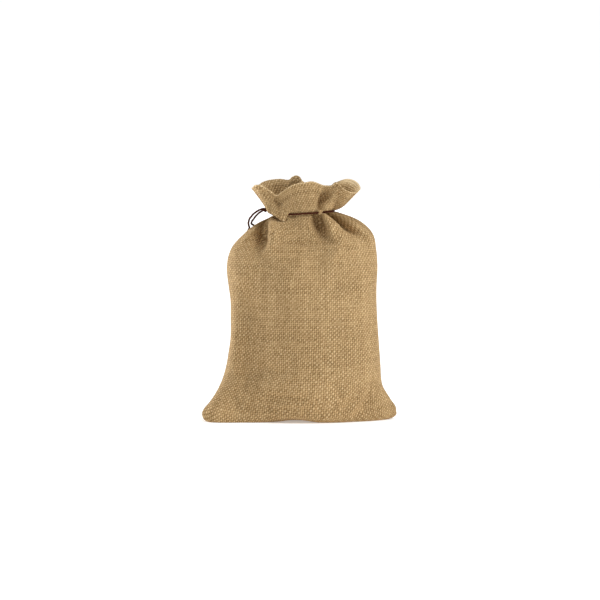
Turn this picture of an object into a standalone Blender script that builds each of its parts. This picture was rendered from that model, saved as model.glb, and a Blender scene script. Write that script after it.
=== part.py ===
"""Small filled hessian sack, drawn in at the neck by a thin cord tied at the left.

Built as a real one is: one closed cloth body, filled up to the neck, with the cloth
above the neck left open as a ruffle; a cord round the neck; a knot at the left end of
it; and the two free tails of the cord. Metres, +Z up, the front of the sack on -Y.
"""
import math

import bmesh
import bpy
import numpy as np

MM = 0.001

# ---- driving dimensions, mm -------------------------------------------------
COLUMNS = 88             # lines of cloth that run from the base up to the rim
WALL = 2.8               # the turned hem of the ruffle, measured level
NECK_LEFT = -27.4        # the neck, where the cord holds it
NECK_RIGHT = 35.2
NECK_FRONT = -25.0
NECK_BACK = 24.0
NECK_Z = 213.6           # height of the cord's line at the middle of the neck
NECK_SLOPE = 0.066       # the neck rises to the right
PLEATS = 14              # small gathers all round the neck
PLEAT_DEPTH = 3.0
INNER_SMOOTHING = 5      # how far the inside of the ruffle smooths out the gathers
EAR_FORWARD = 27.0       # the left corner points a little forward, the right one back
EAR_BACK = 5.0
EAR_TOP = 46.0           # height at which the corners have run out into the body
RUFFLE_STEPS = (0.07, 0.17, 0.30, 0.44, 0.58, 0.72, 0.86, 1.0)
CORD_D = 1.8
CORD_POINTS = 72         # points round the neck
TAIL_STEP = 2.8          # spacing of a tail's points
GAP = 0.35               # free space kept between one piece and the next
CORD_LIFT = 3.0          # the cord is pulled up and out towards the knot
CORD_PULL = 2.7
KNOT_SIZE = (4.2, 3.8, 4.4)
KNOT_TURNS = 3           # wraps of cord that show on the knot
KNOT_AT = (-34.2, -4.6, 216.8)

# One row per level of the filled body: height, then how far the cloth reaches to
# the left, right, front and back, then how square the section is (2 is an ellipse).
BODY = (
    (0.0, -93.0, 87.0, -35.0, 34.0, 1.70),
    (1.2, -96.4, 91.0, -38.6, 38.0, 1.62),
    (4.0, -98.8, 96.6, -41.2, 40.8, 1.50),
    (9.0, -99.8, 100.0, -43.0, 42.6, 1.44),
    (13.5, -97.6, 99.6, -44.2, 43.8, 1.47),
    (19.0, -92.4, 96.4, -45.2, 44.8, 1.56),
    (26.0, -87.0, 92.2, -46.0, 45.6, 1.70),
    (34.0, -82.2, 87.2, -46.6, 46.2, 1.92),
    (43.0, -78.4, 84.8, -47.0, 46.6, 2.10),
    (55.0, -75.4, 83.6, -47.2, 46.8, 2.20),
    (70.0, -73.4, 82.6, -47.2, 46.8, 2.28),
    (87.0, -70.8, 81.8, -47.0, 46.6, 2.30),
    (105.0, -70.0, 81.0, -46.6, 46.2, 2.30),
    (123.0, -70.4, 80.2, -46.2, 45.8, 2.30),
    (140.0, -73.0, 79.8, -45.6, 45.2, 2.30),
    (155.0, -74.4, 80.2, -44.6, 44.2, 2.28),
    (168.0, -73.0, 80.0, -43.0, 42.6, 2.24),
    (178.0, -69.2, 79.4, -41.0, 40.6, 2.20),
    (186.0, -63.8, 78.4, -38.8, 38.4, 2.18),
    (193.0, -57.6, 75.0, -36.4, 36.0, 2.14),
    (199.0, -51.6, 68.6, -33.8, 33.2, 2.10),
    (203.5, -45.8, 61.6, -31.4, 30.6, 2.06),
    (207.0, -40.0, 54.0, -29.2, 28.2, 2.02),
    (209.8, -33.6, 46.4, -27.2, 26.2, 2.00),
    (211.9, -29.4, 40.2, -25.5, 24.5, 2.00),
)

# The rim of the ruffle: part of the way round (0 left, 0.25 front, 0.5 right,
# 0.75 back), then x, y and z of its outer edge, and how the cloth flares on the
# way up to it (1 even, less than 1 turns out early like a bowl).
RIM = (
    (0.000, -48.4, 0.0, 238.2, 0.92),
    (0.024, -46.2, -11.0, 240.6, 0.95),
    (0.040, -43.6, -19.0, 241.8, 0.95),
    (0.058, -39.8, -22.0, 241.9, 0.97),
    (0.095, -32.0, -20.0, 237.6, 1.00),
    (0.130, -23.8, -16.6, 231.4, 1.10),
    (0.150, -19.2, -20.6, 234.2, 1.10),
    (0.175, -14.0, -25.2, 237.5, 1.10),
    (0.210, -7.4, -28.2, 241.6, 1.10),
    (0.240, -0.4, -29.0, 243.8, 1.10),
    (0.270, 6.4, -28.6, 244.6, 1.10),
    (0.300, 13.0, -26.8, 245.6, 1.05),
    (0.325, 18.4, -24.6, 244.4, 1.05),
    (0.345, 22.6, -22.6, 242.6, 1.00),
    (0.385, 28.8, -19.6, 241.2, 0.95),
    (0.410, 34.0, -19.8, 241.6, 0.82),
    (0.428, 38.0, -21.0, 244.6, 0.76),
    (0.446, 41.6, -22.0, 242.4, 0.68),
    (0.462, 44.4, -22.2, 239.4, 0.62),
    (0.480, 49.0, -20.6, 236.4, 0.58),
    (0.505, 55.4, -16.0, 234.2, 0.52),
    (0.540, 61.4, -6.4, 235.4, 0.52),
    (0.570, 63.0, 2.6, 239.4, 0.66),
    (0.610, 58.8, 10.6, 245.4, 1.40),
    (0.660, 50.2, 16.6, 247.6, 2.00),
    (0.705, 40.4, 19.0, 244.4, 1.70),
    (0.750, 31.4, 18.6, 239.6, 0.95),
    (0.790, 21.6, 18.0, 239.8, 0.80),
    (0.830, 10.4, 17.6, 242.8, 0.75),
    (0.862, 3.0, 16.4, 245.2, 0.75),
    (0.871, 0.8, 16.0, 248.8, 0.75),
    (0.886, -3.4, 15.8, 250.6, 0.75),
    (0.901, -7.8, 16.4, 249.0, 0.75),
    (0.911, -10.4, 17.2, 246.4, 0.75),
    (0.940, -21.0, 17.2, 247.0, 0.75),
    (0.962, -32.4, 14.6, 245.8, 0.80),
    (0.978, -39.0, 10.8, 243.5, 0.85),
    (0.988, -43.6, 7.0, 239.8, 0.90),
)

# Folds of the body. Each is a run of (height, part of the way round, half width before
# and after that place, depth in mm): a positive depth is a valley, a negative one a ridge.
FOLDS = (
    ((213.0, 0.020, 0.024, 0.016, 3.0), (206.0, 0.050, 0.030, 0.013, 3.0),
     (190.0, 0.110, 0.036, 0.015, 3.0), (176.0, 0.136, 0.040, 0.024, 0.0)),
    ((213.0, 0.062, 0.010, 0.028, -3.0), (204.0, 0.098, 0.010, 0.032, -6.0),
     (192.0, 0.146, 0.010, 0.036, -5.6), (178.0, 0.172, 0.018, 0.038, -2.0),
     (160.0, 0.182, 0.026, 0.036, 0.0)),
    ((214.0, 0.324, 0.024, 0.012, 6.0), (211.0, 0.318, 0.028, 0.013, 12.0),
     (203.5, 0.300, 0.034, 0.015, 19.0), (196.0, 0.297, 0.036, 0.016, 17.0),
     (188.0, 0.299, 0.036, 0.020, 10.0), (174.0, 0.304, 0.034, 0.026, 5.0),
     (160.0, 0.304, 0.034, 0.030, 2.4), (140.0, 0.304, 0.034, 0.034, 0.0)),
    ((214.0, 0.357, 0.010, 0.018, -3.6), (205.3, 0.336, 0.010, 0.022, -5.0),
     (196.0, 0.331, 0.012, 0.024, -4.4), (188.0, 0.331, 0.016, 0.026, -2.4),
     (172.0, 0.333, 0.024, 0.028, 0.0)),
    ((214.5, 0.414, 0.028, 0.026, 8.0), (208.6, 0.401, 0.024, 0.022, 17.0),
     (203.6, 0.393, 0.020, 0.020, 19.0), (197.6, 0.395, 0.024, 0.020, 16.5),
     (191.0, 0.407, 0.028, 0.022, 9.0), (178.0, 0.424, 0.032, 0.028, 0.0)),
    ((212.0, 0.190, 0.018, 0.018, 2.2), (204.0, 0.200, 0.022, 0.022, 1.6),
     (188.0, 0.212, 0.030, 0.030, 0.0)),
    ((212.0, 0.262, 0.018, 0.018, 1.8), (204.0, 0.256, 0.022, 0.022, 1.4),
     (190.0, 0.250, 0.030, 0.030, 0.0)),
    ((212.0, 0.480, 0.016, 0.018, 4.0), (203.0, 0.478, 0.022, 0.020, 5.0),
     (190.0, 0.470, 0.030, 0.026, 0.0)),
    ((212.0, 0.560, 0.014, 0.018, 4.5), (203.0, 0.572, 0.018, 0.024, 6.0),
     (188.0, 0.584, 0.024, 0.030, 2.4), (172.0, 0.590, 0.034, 0.034, 0.0)),
    ((212.0, 0.645, 0.018, 0.014, 4.5), (202.0, 0.655, 0.026, 0.018, 6.5),
     (186.0, 0.668, 0.032, 0.024, 2.6), (166.0, 0.675, 0.036, 0.034, 0.0)),
    ((212.0, 0.735, 0.014, 0.018, 5.0), (202.0, 0.735, 0.018, 0.026, 7.5),
     (188.0, 0.738, 0.024, 0.034, 3.6), (162.0, 0.742, 0.034, 0.038, 0.0)),
    ((212.0, 0.815, 0.018, 0.014, 4.5), (202.0, 0.808, 0.026, 0.018, 6.5),
     (186.0, 0.800, 0.032, 0.024, 2.6), (168.0, 0.795, 0.036, 0.036, 0.0)),
    ((212.0, 0.895, 0.014, 0.018, 4.0), (203.0, 0.880, 0.018, 0.024, 6.0),
     (188.0, 0.868, 0.024, 0.030, 2.2), (172.0, 0.862, 0.034, 0.034, 0.0)),
    ((212.0, 0.960, 0.018, 0.014, 3.5), (204.0, 0.948, 0.024, 0.018, 4.5),
     (190.0, 0.938, 0.030, 0.026, 0.0)),
    ((165.0, 0.150, 0.040, 0.040, 0.0), (130.0, 0.150, 0.040, 0.045, 4.0),
     (90.0, 0.148, 0.042, 0.048, 5.4), (50.0, 0.142, 0.040, 0.046, 4.6),
     (22.0, 0.140, 0.040, 0.040, 0.0)),
    ((50.0, 0.436, 0.014, 0.014, 0.0), (34.0, 0.432, 0.015, 0.020, 2.8),
     (18.0, 0.412, 0.016, 0.024, 5.0), (5.0, 0.392, 0.020, 0.026, 2.6),
     (-4.0, 0.386, 0.026, 0.026, 0.0)),
    ((58.0, 0.060, 0.026, 0.026, 0.0), (36.0, 0.064, 0.028, 0.026, 1.8),
     (18.0, 0.080, 0.030, 0.024, 3.0), (5.0, 0.100, 0.028, 0.026, 1.5),
     (-4.0, 0.104, 0.028, 0.028, 0.0)),
    ((54.0, 0.570, 0.022, 0.022, 0.0), (34.0, 0.572, 0.024, 0.022, 2.0),
     (16.0, 0.590, 0.026, 0.024, 3.4), (0.0, 0.610, 0.026, 0.026, 0.0)),
    ((54.0, 0.940, 0.022, 0.022, 0.0), (34.0, 0.936, 0.024, 0.022, 2.0),
     (16.0, 0.918, 0.026, 0.024, 3.2), (0.0, 0.898, 0.026, 0.026, 0.0)),
    ((9.0, 0.215, 0.050, 0.050, 0.0), (4.0, 0.215, 0.052, 0.052, 2.2),
     (1.2, 0.215, 0.054, 0.054, 6.5), (0.0, 0.215, 0.056, 0.056, 9.0)),
)

# The pocket on the left shoulder, pressed straight back behind the edge of the front
# panel: runs of the same five numbers.
BACKS = (
    ((213.0, 0.000, 0.020, 0.012, 0.0), (210.0, 0.030, 0.040, 0.012, 5.0),
     (207.0, 0.054, 0.052, 0.011, 12.0), (203.5, 0.078, 0.056, 0.011, 16.5),
     (199.0, 0.099, 0.052, 0.011, 18.5), (193.0, 0.117, 0.046, 0.012, 17.5),
     (186.0, 0.127, 0.042, 0.014, 13.0), (178.0, 0.134, 0.040, 0.020, 7.0),
     (164.0, 0.136, 0.040, 0.034, 2.0), (150.0, 0.136, 0.044, 0.040, 0.0)),
)

# The front lower edge stands off the floor a little at the middle: part of the way
# round, half width, height in mm.
ARCH = (0.245, 0.036, 3.0)

# Folds of the ruffle. Each is a run of (part of the way up, 0 at the cord and 1 at the
# rim, then as above).
RUFFLE_FOLDS = (
    ((0.0, 0.372, 0.018, 0.018, 1.0), (0.30, 0.374, 0.026, 0.028, 5.0),
     (0.70, 0.377, 0.028, 0.030, 3.6), (1.0, 0.380, 0.028, 0.028, 1.2)),
    ((0.0, 0.040, 0.010, 0.030, -0.6), (0.40, 0.038, 0.010, 0.030, -2.0),
     (1.0, 0.036, 0.012, 0.030, -1.4)),
    ((0.0, 0.100, 0.026, 0.026, 1.0), (0.40, 0.108, 0.030, 0.030, 1.6),
     (0.90, 0.120, 0.034, 0.034, 0.0)),
    ((0.0, 0.452, 0.018, 0.018, 2.4), (0.40, 0.456, 0.022, 0.022, 2.0),
     (0.90, 0.460, 0.024, 0.024, 0.0)),
    ((0.0, 0.540, 0.018, 0.018, 2.4), (0.45, 0.545, 0.022, 0.022, 2.4),
     (1.0, 0.550, 0.024, 0.024, 0.0)),
    ((0.0, 0.620, 0.018, 0.018, 3.0), (0.45, 0.625, 0.024, 0.024, 3.0),
     (1.0, 0.630, 0.026, 0.026, 0.0)),
    ((0.0, 0.700, 0.018, 0.018, 2.0), (0.45, 0.715, 0.024, 0.024, 1.6),
     (1.0, 0.735, 0.026, 0.026, 0.4)),
    ((0.0, 0.780, 0.018, 0.018, 4.0), (0.45, 0.780, 0.022, 0.022, 4.0),
     (1.0, 0.775, 0.024, 0.024, 0.0)),
    ((0.0, 0.850, 0.018, 0.018, 4.0), (0.50, 0.850, 0.022, 0.022, 4.0),
     (1.0, 0.852, 0.022, 0.022, 1.2)),
    ((0.0, 0.928, 0.018, 0.018, 4.0), (0.50, 0.924, 0.022, 0.022, 3.6),
     (1.0, 0.920, 0.022, 0.022, 0.4)),
)

# The free tails, from the knot out and down on to the left shoulder: x, y, z in mm.
# The last points lie on the back of the shoulder, see tail_route.
TAIL_OUTER = (
    (-37.3, -5.1, 217.6), (-40.3, -5.2, 216.6), (-44.4, -4.8, 214.2), (-48.4, -3.8, 210.6),
    (-51.0, -2.2, 206.8), (-52.0, 0.4, 203.0),
)
TAIL_INNER = (
    (-37.0, -2.9, 215.8), (-39.8, -1.9, 214.2), (-43.2, 0.2, 211.4), (-46.0, 2.2, 207.8),
    (-48.1, 4.0, 204.9), (-49.2, 6.2, 202.3),
)
# The places where each tail lies on the shoulder: height, part of the way round.
TAIL_OUTER_LIES = ((198.2, 0.970), (192.8, 0.955), (187.2, 0.944), (181.6, 0.937))
TAIL_INNER_LIES = ((199.6, 0.950), (193.8, 0.930), (188.2, 0.918))


def clear_scene():
    """Remove every object of the start-up file."""
    for thing in list(bpy.data.objects):
        bpy.data.objects.remove(thing, do_unlink=True)


def material(name, colour, roughness):
    """A plain Principled material in one colour."""
    made = bpy.data.materials.new(name)
    made.use_nodes = True
    shader = made.node_tree.nodes["Principled BSDF"]
    shader.inputs["Base Color"].default_value = (*colour, 1.0)
    shader.inputs["Roughness"].default_value = roughness
    made.diffuse_color = (*colour, 1.0)
    return made


def hermite(knots, values, at):
    """Smooth curve through values at knots: a cubic whose slope at each knot is the
    average of the slopes on its two sides, so it does not swing past its points."""
    knots = np.asarray(knots, float)
    values = np.asarray(values, float)
    step = np.diff(knots)
    slope = np.diff(values, axis=0) / step[:, None]
    tangent = np.empty_like(values)
    tangent[1:-1] = 0.5 * (slope[:-1] + slope[1:])
    tangent[0] = slope[0]
    tangent[-1] = slope[-1]
    at = np.clip(np.asarray(at, float), knots[0], knots[-1])
    cell = np.clip(np.searchsorted(knots, at, side="right") - 1, 0, len(step) - 1)
    h = step[cell]
    t = (at - knots[cell]) / h
    t2 = t * t
    t3 = t2 * t
    w0 = 2 * t3 - 3 * t2 + 1
    w1 = t3 - 2 * t2 + t
    w2 = -2 * t3 + 3 * t2
    w3 = t3 - t2
    return (w0[..., None] * values[cell] + (w1 * h)[..., None] * tangent[cell]
            + w2[..., None] * values[cell + 1] + (w3 * h)[..., None] * tangent[cell + 1])


def round_the_ring(table, u):
    """Smooth closed curve through a table whose first column is the part of the way
    round; returns the other columns at each u."""
    rows = np.array(table, float)
    knots = np.concatenate([rows[-3:, 0] - 1, rows[:, 0], rows[:3, 0] + 1])
    values = np.concatenate([rows[-3:, 1:], rows[:, 1:], rows[:3, 1:]])
    return hermite(knots, values, np.mod(u, 1.0))


def fold_depth(folds, level, u):
    """Depth of all the folds at a level, for each u: every fold is a smooth bell
    across the cloth, and its place, widths and depth follow its own run of rows."""
    total = np.zeros_like(u)
    for run in folds:
        rows = np.array(sorted(run), float)
        if level <= rows[0, 0] and rows[0, 4] == 0 or level >= rows[-1, 0] and rows[-1, 4] == 0:
            continue
        place, before, after, depth = hermite(rows[:, 0], rows[:, 1:], np.array([level]))[0]
        away = (u - place + 0.5) % 1.0 - 0.5
        total += depth * np.exp(-((away / np.where(away < 0, before, after)) ** 2))
    return total


def section(left, right, front, back, power, u):
    """Plan outline of one level: a super-ellipse with its own reach on each of the
    four sides, points spaced evenly along it, u = 0 at the left and 0.25 in front."""
    angle = np.linspace(0, 2 * math.pi, 2001) + math.pi
    c = np.cos(angle)
    s = np.sin(angle)
    mid = 0.5 * (left + right)
    half = 0.5 * (right - left)
    deep = np.where(s < 0, -front, back)
    x = mid + half * np.sign(c) * np.abs(c) ** (2 / power)
    y = deep * np.sign(s) * np.abs(s) ** (2 / power)
    run = np.concatenate([[0], np.cumsum(np.hypot(np.diff(x), np.diff(y)))])
    quarter = run[np.array([0, 500, 1000, 1500, 2000])]
    goal = np.interp(np.mod(u, 1.0), (0, 0.25, 0.5, 0.75, 1.0), quarter)
    return np.interp(goal, run, x), np.interp(goal, run, y)


def push_in(x, y, middle, depth):
    """Move outline points towards the middle line of the sack by depth."""
    ahead = np.roll(np.arange(len(x)), -1)
    behind = np.roll(np.arange(len(x)), 1)
    tx = x[ahead] - x[behind]
    ty = y[ahead] - y[behind]
    size = np.hypot(tx, ty)
    nx = -ty / size
    ny = tx / size
    away = nx * (middle - x) + ny * (0 - y)
    side = np.where(away < 0, -1.0, 1.0)
    return x + side * nx * depth, y + side * ny * depth


def neck_ring(u):
    """The line of the cloth's outermost folds where the cord holds it."""
    x, y = section(NECK_LEFT, NECK_RIGHT, NECK_FRONT, NECK_BACK, 2.0, u)
    z = NECK_Z + NECK_SLOPE * (x - 0.5 * (NECK_LEFT + NECK_RIGHT))
    return x, y, z


def pleats(u):
    """The small gathers: 0 on their crests, 1 in their valleys."""
    return 0.5 - 0.5 * np.cos(2 * math.pi * PLEATS * u)


def swing_ears(x, y, z):
    """Swing the two bottom corners: the left one forward, the right one back."""
    low = np.clip(1 - z / EAR_TOP, 0, 1) ** 0.8
    left = np.clip((-x - 30.0) / 68.0, 0, 1) ** 1.5
    right = np.clip((x - 40.0) / 60.0, 0, 1) ** 1.5
    return y + low * (EAR_BACK * right - EAR_FORWARD * left)


def body_levels(u):
    """Outer cloth from the base to just under the cord, one ring per BODY row."""
    rings = []
    for z, left, right, front, back, power in BODY:
        x, y = section(left, right, front, back, power, u)
        middle = 0.5 * (left + right)
        near_neck = np.clip((z - 196.0) / 14.0, 0, 1)
        depth = np.maximum(fold_depth(FOLDS, z, u), -6.0 * (1 - near_neck))
        depth = depth + PLEAT_DEPTH * near_neck * pleats(u)
        x, y = push_in(x, y, middle, depth)
        y = swing_ears(x, y + fold_depth(BACKS, z, u), z)
        tilt = NECK_SLOPE * np.clip((z - 180.0) / 32.0, 0, 1) * (x - middle)
        arch = ARCH[2] * np.exp(-(((u - ARCH[0]) / ARCH[1]) ** 2)) * np.clip(1 - z / 12.0, 0, 1) ** 1.5
        rings.append(np.stack([x, y, z + tilt + arch], axis=1))
    return rings


def ruffle_levels(u):
    """Outer cloth from the cord up to the rim."""
    nx, ny, nz = neck_ring(u)
    rim = round_the_ring(RIM, u)
    middle = 0.5 * (NECK_LEFT + NECK_RIGHT)
    rings = []
    for step in (-0.045, 0.0) + RUFFLE_STEPS:
        way = max(step, 0.0)
        flare = way ** np.clip(rim[:, 3], 0.8, 1.1)
        x = nx + (rim[:, 0] - nx) * flare
        y = ny + (rim[:, 1] - ny) * flare
        z = nz + (rim[:, 2] - nz) * step
        soften = 1 - 0.75 * np.clip((way - 0.35) / 0.65, 0, 1)
        depth = fold_depth(RUFFLE_FOLDS, way, u) * np.clip(way / 0.12, 0.35, 1)
        depth = depth + PLEAT_DEPTH * pleats(u) * soften * (1 - 0.3 * way) * (1 - 0.4 * min(way / 0.2, 1))
        x, y = push_in(x, y, middle, depth)
        rings.append(np.stack([x, y, z], axis=1))
    return rings


def inset(ring, amount, drop=0.0):
    """A ring smoothed along itself, then moved level to its inside, square to its own
    outline, by an amount, and down by drop."""
    moved = ring.copy()
    for _ in range(INNER_SMOOTHING):
        moved = 0.25 * np.roll(moved, 1, axis=0) + 0.5 * moved + 0.25 * np.roll(moved, -1, axis=0)
    ahead = np.roll(moved[:, :2], -1, axis=0) - np.roll(moved[:, :2], 1, axis=0)
    ahead /= np.linalg.norm(ahead, axis=1)[:, None]
    moved[:, 0] -= amount * ahead[:, 1]
    moved[:, 1] += amount * ahead[:, 0]
    moved[:, 2] -= drop
    return moved


def squash(ring, share, height):
    """A ring scaled level towards the middle of the neck, and as much towards a height."""
    middle = np.array([0.5 * (NECK_LEFT + NECK_RIGHT), 0.0])
    moved = ring.copy()
    moved[:, :2] = middle + (ring[:, :2] - middle) * share
    moved[:, 2] = height + (ring[:, 2] - height) * share
    return moved


def sack_rings():
    """All the rings of the sack, from the middle of the base up the outside, over
    the rim and down the inside to the floor of the ruffle."""
    u = np.arange(COLUMNS) / COLUMNS
    outer = body_levels(u)
    ruffle = ruffle_levels(u)
    base = outer[0]
    middle = base.mean(axis=0)
    rings = [middle + (base - middle) * share for share in (0.4, 0.75)]
    for ring, share in zip(rings, (0.0, 0.4)):
        ring[:, 2] = base[:, 2] * share
    middle[2] = 0.0
    rings += outer + ruffle
    rim = ruffle[-1]
    lip = inset(rim, 0.5 * WALL, -0.7)
    rings.append(lip)
    for ring in ruffle[:4:-1]:
        rings.append(inset(ring, WALL))
    throat = inset(ruffle[4], WALL + 0.3)
    floor = float(throat[:, 2].mean())
    rings.append(squash(throat, 0.86, floor))
    rings.append(squash(throat, 0.45, floor - 0.6))
    return rings, middle, np.array([0.5 * (NECK_LEFT + NECK_RIGHT), 0.0, floor - 0.8])


def mesh_object(name, points, faces, mat):
    """A closed smooth-shaded mesh object, normals outward, sizes given in mm."""
    mesh = bpy.data.meshes.new(name)
    mesh.from_pydata([tuple(p * MM) for p in np.asarray(points, float)], [], faces)
    tidy = bmesh.new()
    tidy.from_mesh(mesh)
    bmesh.ops.recalc_face_normals(tidy, faces=tidy.faces)
    bmesh.ops.triangulate(tidy, faces=tidy.faces)
    tidy.to_mesh(mesh)
    tidy.free()
    mesh.polygons.foreach_set("use_smooth", [True] * len(mesh.polygons))
    thing = bpy.data.objects.new(name, mesh)
    bpy.context.collection.objects.link(thing)
    mesh.materials.append(mat)
    return thing


def build_sack(mat):
    """The cloth body: rings joined by quads, closed at the base and in the ruffle."""
    rings, foot, throat = sack_rings()
    count = COLUMNS
    points = np.concatenate(rings + [foot[None], throat[None]])
    faces = []
    for r in range(len(rings) - 1):
        for c in range(count):
            d = (c + 1) % count
            faces.append((r * count + c, r * count + d, (r + 1) * count + d, (r + 1) * count + c))
    foot_at = len(rings) * count
    last = (len(rings) - 1) * count
    for c in range(count):
        d = (c + 1) % count
        faces.append((foot_at, d, c))
        faces.append((foot_at + 1, last + c, last + d))
    return mesh_object("sack", points, faces, mat)


def tube(name, path, diameter, closed, mat):
    """A round cord along a path of points in mm: a bevelled curve with filled caps."""
    curve = bpy.data.curves.new(name, "CURVE")
    curve.dimensions = "3D"
    curve.bevel_depth = 0.5 * diameter * MM
    curve.bevel_resolution = 2
    curve.use_fill_caps = True
    spline = curve.splines.new("POLY")
    spline.points.add(len(path) - 1)
    for point, place in zip(spline.points, np.asarray(path, float) * MM):
        point.co = (*place, 1.0)
    spline.use_cyclic_u = closed
    curve.materials.append(mat)
    thing = bpy.data.objects.new(name, curve)
    bpy.context.collection.objects.link(thing)
    return thing


def smooth_path(points, spacing):
    """Points at an even spacing on a smooth curve through the given points."""
    points = np.asarray(points, float)
    run = np.concatenate([[0], np.cumsum(np.linalg.norm(np.diff(points, axis=0), axis=1))])
    fine = hermite(run, points, np.linspace(0, run[-1], 400))
    length = np.concatenate([[0], np.cumsum(np.linalg.norm(np.diff(fine, axis=0), axis=1))])
    goal = np.linspace(0, length[-1], max(3, int(round(length[-1] / spacing)) + 1))
    return np.stack([np.interp(goal, length, fine[:, k]) for k in range(3)], axis=1)


def on_the_shoulder(height, part):
    """A point on the outside of the body, moved out by a cord's radius and the gap."""
    rows = np.array(BODY, float)
    reach = hermite(rows[:, 0], rows[:, 1:], np.array([height]))[0]
    u = (np.arange(9) - 4) * 0.004 + part
    x, y = section(*reach, u)
    x, y = push_in(x, y, 0.5 * (reach[0] + reach[1]), fold_depth(FOLDS, height, u))
    out = np.array([y[5] - y[3], -(x[5] - x[3])])
    out /= np.linalg.norm(out)
    if np.dot(out, (x[4], y[4])) < 0:
        out = -out
    away = 0.5 * CORD_D + GAP + 0.5
    tilt = NECK_SLOPE * np.clip((height - 180.0) / 32.0, 0, 1) * (x[4] - 0.5 * (reach[0] + reach[1]))
    lift = away * 0.55 * np.clip((height - 175.0) / 25.0, 0, 1)
    return np.array([x[4] + out[0] * away, y[4] + out[1] * away, height + tilt + lift])


def tail_route(free, lies):
    """Centre line of one tail: its free points, then its points on the shoulder."""
    return np.array(list(free) + [on_the_shoulder(h, p) for h, p in lies])


def build_knot(mat):
    """The tight overhand knot: a small ball whose surface swells along slanting wraps."""
    across = 20
    down = 12
    points = []
    for r in range(1, down):
        polar = math.pi * r / down
        for c in range(across):
            turn = 2 * math.pi * c / across
            swell = 1 + 0.10 * math.sin(polar) * math.cos(KNOT_TURNS * turn + 2.4 * polar)
            points.append((
                math.sin(polar) * math.cos(turn) * swell,
                math.sin(polar) * math.sin(turn) * swell,
                math.cos(polar) * swell,
            ))
    first = len(points)
    points += [(0, 0, 1), (0, 0, -1)]
    faces = []
    for r in range(down - 2):
        for c in range(across):
            d = (c + 1) % across
            faces.append((r * across + c, r * across + d, (r + 1) * across + d, (r + 1) * across + c))
    last = (down - 2) * across
    for c in range(across):
        d = (c + 1) % across
        faces.append((first, c, d))
        faces.append((first + 1, last + d, last + c))
    shaped = np.array(points) * np.array(KNOT_SIZE) * 0.5 + KNOT_AT
    return mesh_object("knot", shaped, faces, mat)


def build_cord(mat):
    """The cord round the neck, its knot at the left and the two free tails."""
    u = np.arange(CORD_POINTS) / CORD_POINTS
    away = 0.5 * CORD_D + GAP + 1.65
    x, y = section(NECK_LEFT - away, NECK_RIGHT + away, NECK_FRONT - away,
                   NECK_BACK + away, 2.0, u)
    z = NECK_Z + NECK_SLOPE * (x - 0.5 * (NECK_LEFT + NECK_RIGHT)) - 0.3
    pull = np.exp(-(((u + 0.5) % 1.0 - 0.5) / 0.045) ** 2)
    x = x - CORD_PULL * pull
    z = z + CORD_LIFT * pull
    tube("drawcord", np.stack([x, y, z], axis=1), CORD_D, True, mat)
    build_knot(mat)
    outer = smooth_path(tail_route(TAIL_OUTER, TAIL_OUTER_LIES), TAIL_STEP)
    inner = smooth_path(tail_route(TAIL_INNER, TAIL_INNER_LIES), TAIL_STEP)
    tube("tail_outer", outer, CORD_D, False, mat)
    tube("tail_inner", inner, CORD_D, False, mat)


clear_scene()
cloth = material("hessian", (0.42, 0.29, 0.13), 0.9)
cord = material("waxed_cord", (0.055, 0.02, 0.012), 0.6)
build_sack(cloth)
build_cord(cord)
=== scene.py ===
import math

import bmesh
import bpy
import numpy as np
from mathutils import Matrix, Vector


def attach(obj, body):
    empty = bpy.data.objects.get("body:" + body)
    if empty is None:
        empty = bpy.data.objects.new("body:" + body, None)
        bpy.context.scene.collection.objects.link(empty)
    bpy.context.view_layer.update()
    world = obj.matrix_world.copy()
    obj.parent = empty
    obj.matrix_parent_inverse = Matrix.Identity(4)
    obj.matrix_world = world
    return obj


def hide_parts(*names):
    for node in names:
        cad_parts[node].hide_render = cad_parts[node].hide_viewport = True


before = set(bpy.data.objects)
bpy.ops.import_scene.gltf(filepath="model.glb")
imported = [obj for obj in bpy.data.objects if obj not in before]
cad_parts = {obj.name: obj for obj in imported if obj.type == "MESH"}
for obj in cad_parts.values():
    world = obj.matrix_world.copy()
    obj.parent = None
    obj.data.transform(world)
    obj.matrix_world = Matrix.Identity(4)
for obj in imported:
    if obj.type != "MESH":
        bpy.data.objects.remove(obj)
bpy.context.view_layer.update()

MM = 0.001

# ---------------------------------------------------------------------------
# Camera. A long lens a little above the middle of the sack, looking along +Y.
# One pixel of the 600 pixel frame covers 1.03 mm at the sack.
# ---------------------------------------------------------------------------
FRAME_WIDTH = 600 * 1.03 * MM
CAMERA_FAR = 2.8
CAMERA_RISE = math.radians(4.0)
LOOK_AT = Vector((0.0010, 0.0, 0.1235))

camera_data = bpy.data.cameras.new("camera")
camera_data.sensor_width = 36.0
camera_data.lens = 36.0 * CAMERA_FAR / FRAME_WIDTH
camera_data.clip_end = 60.0
camera = bpy.data.objects.new("camera", camera_data)
bpy.context.collection.objects.link(camera)
towards = Vector((0.0, -math.cos(CAMERA_RISE), math.sin(CAMERA_RISE)))
camera.location = LOOK_AT + towards * CAMERA_FAR
camera.rotation_euler = (-towards).to_track_quat("-Z", "Y").to_euler()
bpy.context.scene.camera = camera
bpy.context.scene.view_settings.view_transform = "Standard"


# ---------------------------------------------------------------------------
# Tails of the cord. Thin waxed cotton cord laid up from three plies, so its
# outline swells along a steep helix. Two cut ends leave the knot, bow out to
# the left and drop on to the shoulder, where they lie over its back.
# ---------------------------------------------------------------------------
CORD_D = 1.8 * MM
PLIES = 3
LAY_LENGTH = 6.4 * MM

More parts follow.
